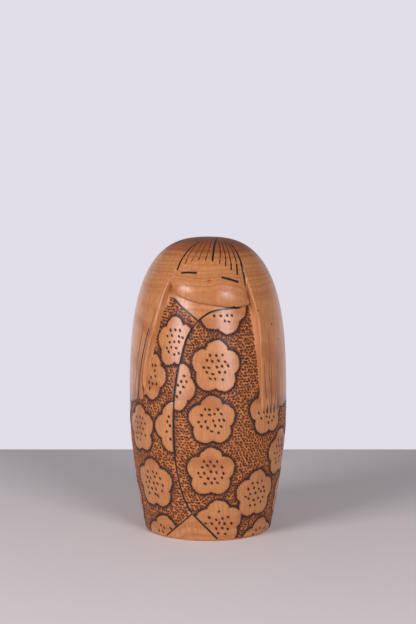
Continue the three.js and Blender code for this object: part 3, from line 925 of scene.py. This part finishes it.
# %% Turn the plug
plug_low, plug_high = (np.array(corner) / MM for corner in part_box("base_plug"))
PLUG_CLEARANCE = 0.3
PLUG_RADIUS = BORE_RADIUS - PLUG_CLEARANCE
profile = [(r, plug_low[2] + 0.06 * math.sin(r * 5)) for r in np.arange(0.4, 10.9, 0.3)]
profile += [(r, plug_low[2] + up) for r, up in ((11.0, 0.02), (11.3, 0.2), (11.55, 0.5), (PLUG_RADIUS, 0.9))]
profile += [(PLUG_RADIUS, z) for z in np.linspace(plug_low[2] + 2, plug_high[2] - 1.5, 7)]
TOP_EDGE = ((PLUG_RADIUS, 0.8), (11.4, 0.3), (11.0, 0), (8, 0), (4, 0))
profile += [(r, plug_high[2] - down) for r, down in TOP_EDGE]
PLUG_SIDES = 96
around = np.linspace(0, 360, PLUG_SIDES, endpoint=False)
plug_points = np.concatenate([on_doll(around, max(z, plug_low[2]), r) for r, z in profile]
                             + [[[0, 0, plug_low[2]], [0, 0, plug_high[2]]]])
plug_grid = np.arange(len(profile) * PLUG_SIDES).reshape(-1, PLUG_SIDES)
bottom_point, top_point = plug_grid.size, plug_grid.size + 1
plug_next = np.roll(plug_grid, -1, axis=1)
plug_faces = np.stack([plug_grid[:-1], plug_next[:-1], plug_next[1:], plug_grid[1:]], -1)
plug_faces = plug_faces.reshape(-1, 4).tolist()
plug_faces += [[b, a, bottom_point] for a, b in zip(plug_grid[0].tolist(), plug_next[0].tolist())]
plug_faces += [[a, b, top_point] for a, b in zip(plug_grid[-1].tolist(), plug_next[-1].tolist())]
plug_mesh = bpy.data.meshes.new("bore_plug")
plug_mesh.from_pydata((plug_points * MM).tolist(), [], plug_faces)
plug_mesh.polygons.foreach_set("use_smooth", np.ones(len(plug_faces), bool))
plug = bpy.data.objects.new("bore_plug", plug_mesh)
bpy.context.collection.objects.link(plug)
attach(plug, "root")
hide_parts("base_plug")
print("plug:", len(plug_faces), "faces, radius", PLUG_RADIUS, "mm")

# %% [markdown]
# ## Bare cherry
#
# The plug's face is side grain cut across by the lathe and left unwaxed, so it is paler and duller than the
# body. Straight fibres run across it, and the tool's rings catch the light.

# %% The plug's material
bare = bpy.data.materials.new("bare_cherry")
bare.use_nodes = True
tree = bare.node_tree
tree.nodes.clear()
metres = add(tree, "ShaderNodeTexCoord").outputs["Object"]
place = add(tree, VECTOR, {0: metres, "Scale": 1 / MM}, operation="SCALE")
# Fibre bundles 1 mm wide and 20 mm long. Real fibres are far too fine to show.
stretched = add(tree, VECTOR, {0: place, 1: (0.06, 1.0, 1.0)}, operation="MULTIPLY")
fibre = add(tree, NOISE, {"Vector": stretched, "Scale": 0.8, "Detail": 5.0, "Roughness": 0.6})
share = add(tree, RANGE, {"Value": fibre, "From Min": 0.3, "From Max": 0.7}, **SMOOTH)
pale = add(tree, MIX, {0: share, 1: to_linear("#c9986b"), 2: to_linear("#a8713f")}, **COLOUR)
rough = add(tree, RANGE, {"Value": share, "To Min": 0.6, "To Max": 0.72})
bump = add(tree, "ShaderNodeBump", {
    "Height": add(tree, MATH, {0: fibre, 1: 0.06}, operation="MULTIPLY"), "Distance": MM, "Strength": 0.8})
shader = add(tree, "ShaderNodeBsdfPrincipled", {
    "Base Color": pale, "Roughness": rough, "IOR": 1.5, "Normal": bump})
add(tree, "ShaderNodeOutputMaterial", {"Surface": shader})
plug_mesh.materials.append(bare)
print(len(tree.nodes), "nodes in bare cherry")

# %% [markdown]
# ## Floor, light and camera
#
# The doll stands on a plain pale floor that ends behind it like a table. Two large soft lights stand to the
# left and the right of the front, and two weak ones further back make the waxed edges glow, as pale walls
# would. The sky is dim in front and bright behind, so that black ink stays black. A portrait lens a metre
# away keeps the outline calm.

# %% Floor and sky
FLOOR_REACH, FLOOR_END = 2.5, 0.25  # metres
floor_mesh = bpy.data.meshes.new("floor")
floor_corners = [(-FLOOR_REACH, -FLOOR_REACH, 0), (FLOOR_REACH, -FLOOR_REACH, 0), (FLOOR_REACH, FLOOR_END, 0),
                 (-FLOOR_REACH, FLOOR_END, 0)]
floor_mesh.from_pydata(floor_corners, [], [(0, 1, 2, 3)])
floor = bpy.data.objects.new("floor", floor_mesh)
bpy.context.collection.objects.link(floor)
plaster = bpy.data.materials.new("pale_floor")
plaster.use_nodes = True
plaster_shader = plaster.node_tree.nodes["Principled BSDF"]
plaster_shader.inputs["Base Color"].default_value = to_linear("#e8e2df")
plaster_shader.inputs["Roughness"].default_value = 0.7
floor_mesh.materials.append(plaster)

world = bpy.data.worlds.new("pale_sky")
world.use_nodes = True
tree = world.node_tree
sky = tree.nodes["Background"]
sky.inputs["Color"].default_value = to_linear("#e9e5f0")
towards = add(tree, "ShaderNodeSeparateXYZ", {0: add(tree, "ShaderNodeTexCoord").outputs["Generated"]})
back = add(tree, RANGE, {"Value": towards.outputs["Y"], "From Min": -0.3, "From Max": 0.6, "To Max": 0.52})
low = add(tree, RANGE, {"Value": towards.outputs["Z"], "From Max": 0.16, "To Min": 1.0, "To Max": 0.0})
wall = add(tree, MATH, {0: back, 1: low}, operation="MULTIPLY")
glow = add(tree, MATH, {0: wall, 1: 0.22}, operation="ADD")
seen = add(tree, "ShaderNodeLightPath").outputs["Is Camera Ray"]
strength = add(tree, MIX, {0: seen, 1: glow, 2: 0.93}, data_type="FLOAT")
tree.links.new(strength.outputs[0], sky.inputs["Strength"])
bpy.context.scene.world = world
bpy.context.scene.view_settings.view_transform = "Standard"
print("floor ends 0.25 m behind the doll")

# %% Lights
def soft_light(name, azimuth, elevation, distance, width, power, colour):
    """A square light that faces the doll's middle. Azimuth 0 is straight in front, 90 is at its +X side."""
    lamp = bpy.data.lights.new(name, "AREA")
    lamp.size, lamp.energy, lamp.color = width, power, to_linear(colour)[:3]
    turn, rise = math.radians(azimuth), math.radians(elevation)
    middle = Vector((0, 0, HEIGHT / 2 * MM))
    way = Vector((math.sin(turn) * math.cos(rise), -math.cos(turn) * math.cos(rise), math.sin(rise)))
    holder = bpy.data.objects.new(name, lamp)
    holder.location = middle + way * distance
    holder.rotation_euler = (-way).to_track_quat("-Z", "Y").to_euler()
    bpy.context.collection.objects.link(holder)


soft_light("left_window", -46, 18, 1.3, 0.55, 12.2, "#f8f4fb")
soft_light("right_window", 30, 18, 1.3, 0.5, 9.6, "#f8f4fb")
soft_light("left_glow", -146, 6, 1.4, 0.9, 1.6, "#f4f2fb")
soft_light("right_glow", 146, 6, 1.4, 0.9, 0.9, "#f4f2fb")
print("four soft lights")

# %% Camera
camera_data = bpy.data.cameras.new("camera")
camera_data.lens, camera_data.sensor_width = 85, 36
camera_data.clip_start, camera_data.clip_end = 0.01, 30
camera = bpy.data.objects.new("camera", camera_data)
LOOKS_DOWN = 6.125  # degrees
camera.location = (0, -0.9505, 0.2432)
camera.rotation_euler = (math.radians(90 - LOOKS_DOWN), 0, 0)
bpy.context.collection.objects.link(camera)
bpy.context.scene.camera = camera
print("camera", [round(c, 3) for c in camera.location])
